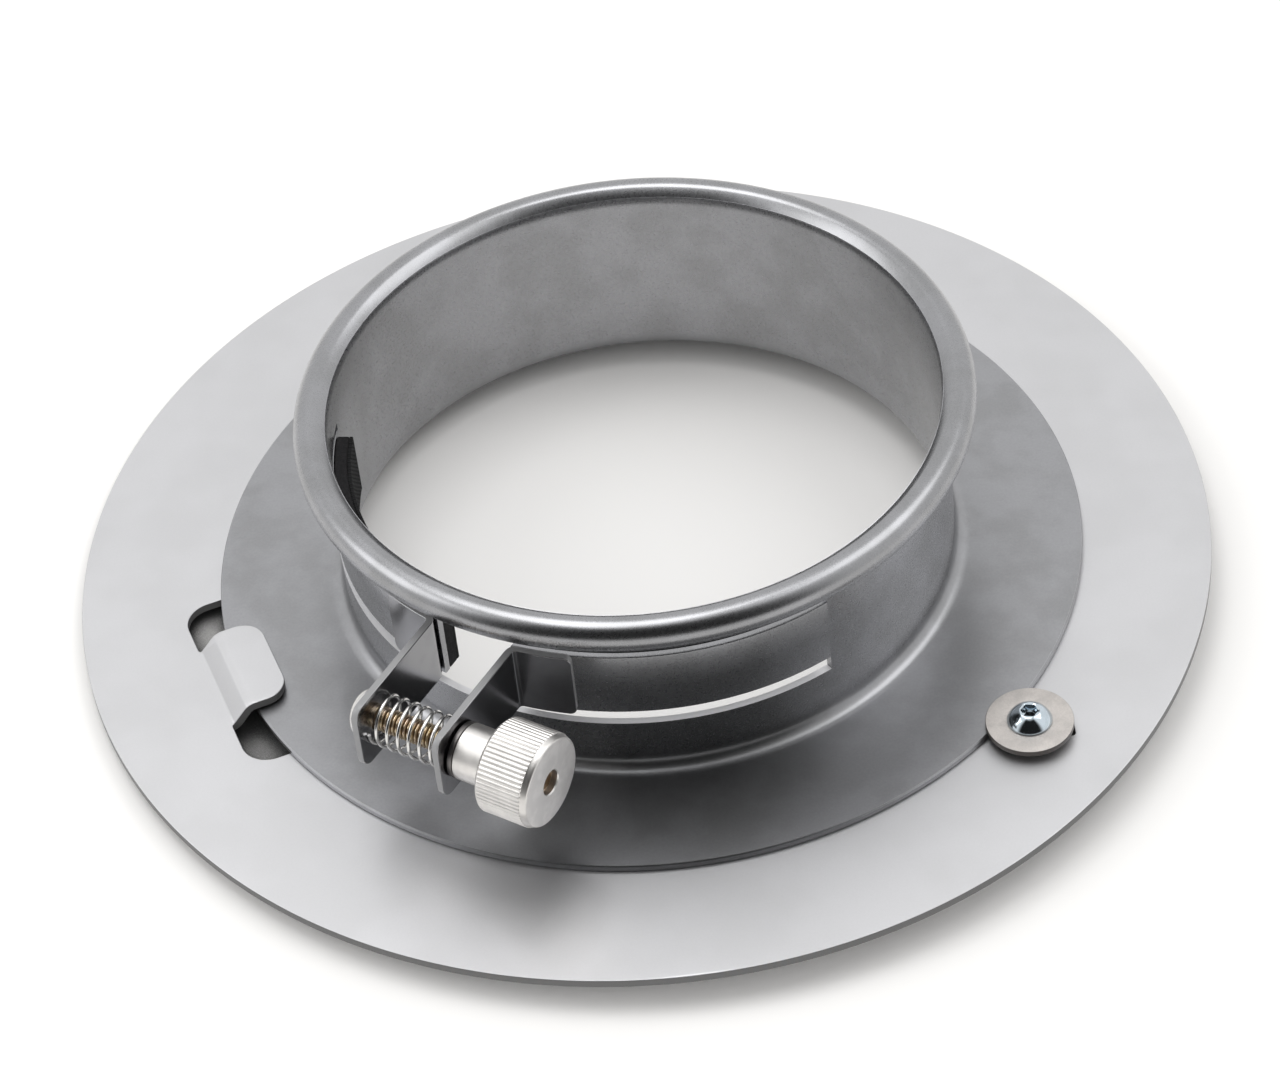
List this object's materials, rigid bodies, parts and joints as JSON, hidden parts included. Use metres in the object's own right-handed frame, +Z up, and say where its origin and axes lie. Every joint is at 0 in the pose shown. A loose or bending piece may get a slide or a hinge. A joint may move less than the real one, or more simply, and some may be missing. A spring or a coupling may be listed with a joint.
{
  "type": "flash head clamp mount ring",
  "caption": "Clamp-on mount ring for a studio flash head: a flat base ring holds a turning collar whose lined straps close by a thumb nut.",
  "frame": {"origin": "centre of the base ring, on its underside", "axes": "+Z up the collar, away from the base ring's underside; the clamp lies towards -X -Y and the thumb nut's side towards -Y"},
  "size_m": [0.1887, 0.1886, 0.0428],
  "materials": {
    "base_metal": "satin rolled sheet",
    "collar_steel": "zinc plated sheet, semi-gloss",
    "bracket_steel": "zinc plated sheet",
    "pad_felt": "black felt",
    "pad_weave": "black woven facing",
    "bolt_zinc": "yellow zinc plated",
    "spring_nickel": "bright nickel plated wire",
    "thrust_steel": "zinc plated",
    "knob_nickel": "bright nickel, knurled",
    "washer_zinc": "matt zinc plated",
    "screw_zinc": "bright zinc plated",
    "nut_zinc": "bright zinc plated",
    "nut_nylon": "natural nylon"
  },
  "bodies": {
    "base": {"base_ring": "base_metal"},
    "collar": {"collar": "collar_steel"},
    "left_strap": {"strap_left": "collar_steel", "clamp_bracket_left": "bracket_steel", "lining_pad_left": "pad_felt", "lining_facing_left": "pad_weave"},
    "right_strap": {"strap_right": "collar_steel", "clamp_bracket_right": "bracket_steel", "lining_pad_right": "pad_felt", "lining_facing_right": "pad_weave"},
    "bolt": {"clamp_bolt": "bolt_zinc", "clamp_spring": "spring_nickel"},
    "thrust_washer": {"thrust_washer": "thrust_steel"},
    "thumb_nut": {"thumb_nut": "knob_nickel"},
    "retainer": {"spacer_bush": "nut_zinc", "lock_nut": "nut_zinc", "lock_nut_insert": "nut_nylon"},
    "retaining_washer": {"retaining_washer": "washer_zinc"},
    "retaining_screw": {"retaining_screw": "screw_zinc"}
  },
  "joints": [
    {"name": "collar_turn", "type": "hinge", "parent": "base", "child": "collar", "pos_m": [0.00117, -0.00068, 0.0015], "axis": [0, 0, 1], "continuous": true},
    {"name": "left_strap_flex", "type": "hinge", "parent": "collar", "child": "left_strap", "pos_m": [-0.04764, 0.00872, 0.02125], "axis": [0, 0, 1], "range_deg": [0, 2.14]},
    {"name": "right_strap_flex", "type": "hinge", "parent": "collar", "child": "right_strap", "pos_m": [0.02684, -0.04324, 0.02125], "axis": [0, 0, -1], "range_deg": [0, 2.14]},
    {"name": "clamp_bolt_tilt", "type": "hinge", "parent": "left_strap", "child": "bolt", "pos_m": [-0.04377, -0.05224, 0.0217], "axis": [0, 0, -1], "range_deg": [0, 2.14]},
    {"name": "thrust_washer_tilt", "type": "hinge", "parent": "right_strap", "child": "thrust_washer", "pos_m": [-0.03171, -0.06065, 0.0217], "axis": [0, 0, 1], "range_deg": [0, 2.14]},
    {"name": "thumb_nut_turn", "type": "hinge", "parent": "thrust_washer", "child": "thumb_nut", "pos_m": [-0.02667, -0.06417, 0.0217], "axis": [-0.8202, 0.5721, 0], "range_deg": [0, 1800], "deforming": ["clamp_spring"]},
    {"name": "retainer_slide", "type": "slide", "parent": "base", "child": "retainer", "axis": [1, 0, 0], "range_m": [0, 0.0044]},
    {"name": "retaining_washer_lift", "type": "slide", "parent": "retainer", "child": "retaining_washer", "axis": [0, 0, 1], "range_m": [0, 0.0014]},
    {"name": "retaining_screw_turn", "type": "hinge", "parent": "retaining_washer", "child": "retaining_screw", "pos_m": [0.05761, -0.05187, 0.0038], "axis": [0, 0, 1], "range_deg": [0, 725]}
  ],
  "couplings": [
    {"joint": "left_strap_flex", "follows": "thumb_nut_turn", "ratio": 0.0011835},
    {"joint": "right_strap_flex", "follows": "thumb_nut_turn", "ratio": 0.0011835},
    {"joint": "clamp_bolt_tilt", "follows": "thumb_nut_turn", "ratio": 0.0011835},
    {"joint": "thrust_washer_tilt", "follows": "thumb_nut_turn", "ratio": 0.0011835},
    {"joint": "retaining_screw_turn", "follows": "retaining_washer_lift", "rad_per_m": 8976}
  ]
}
